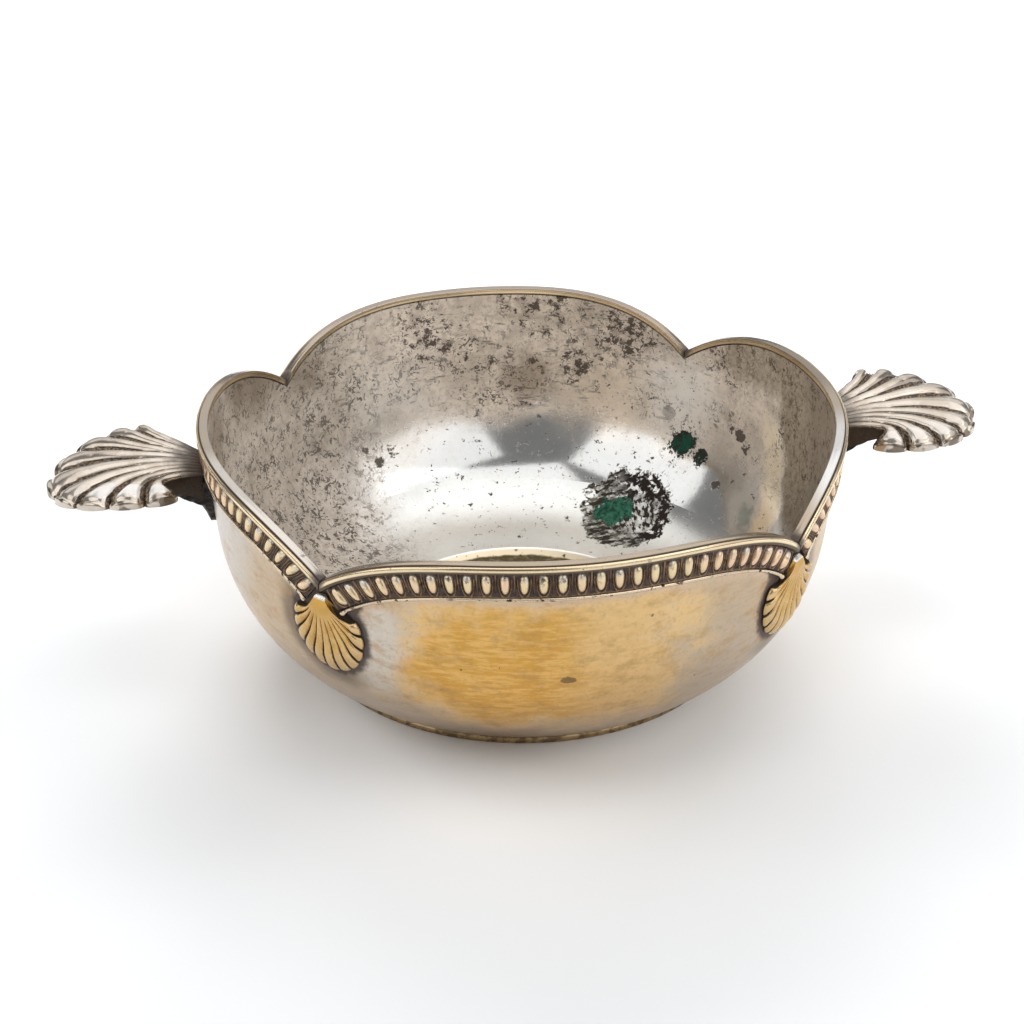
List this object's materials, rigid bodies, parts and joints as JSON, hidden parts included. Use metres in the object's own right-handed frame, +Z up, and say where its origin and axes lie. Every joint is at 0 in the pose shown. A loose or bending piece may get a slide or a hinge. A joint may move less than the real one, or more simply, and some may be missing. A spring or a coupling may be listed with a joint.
{
  "type": "trinket bowl",
  "caption": "Small footed metal bowl whose rim rises in lobes, with an egg-and-dart border, scallop shells at the notches and two shell handles.",
  "frame": {"origin": "centre of the foot ring's underside, on the surface that the bowl stands on", "axes": "+Z up, X through the two handles, Y through the middles of the two plain lobes, with the front lobe at -Y"},
  "size_m": [0.1746, 0.12, 0.0472],
  "materials": {
    "silvered_body": "worn silvering over brass, pitted and tarnished inside, rubbed to gold on the outside",
    "gilt_foot": "worn gilding, satin",
    "rim_band": "polished, worn silver over brass",
    "border_relief": "die-rolled relief, bright crests over a dark oxidised ground",
    "border_wire": "polished drawn wire",
    "gilt_shell": "worn gilding with dark recesses",
    "cast_handle": "cast, polished silver ribs over dark stippled grooves"
  },
  "bodies": {
    "root": {"bowl_body": "silvered_body", "foot_ring": "gilt_foot", "rim_moulding_front": "rim_band", "rim_moulding_right": "rim_band", "rim_moulding_back": "rim_band", "rim_moulding_left": "rim_band", "egg_border_front": "border_relief", "egg_border_right": "border_relief", "egg_border_back": "border_relief", "egg_border_left": "border_relief", "lower_wire_front": "border_wire", "lower_wire_right": "border_wire", "lower_wire_back": "border_wire", "lower_wire_left": "border_wire", "corner_shell_front_left": "gilt_shell", "corner_shell_front_right": "gilt_shell", "corner_shell_back_left": "gilt_shell", "corner_shell_back_right": "gilt_shell", "handle_left": "cast_handle", "handle_right": "cast_handle"}
  },
  "joints": []
}
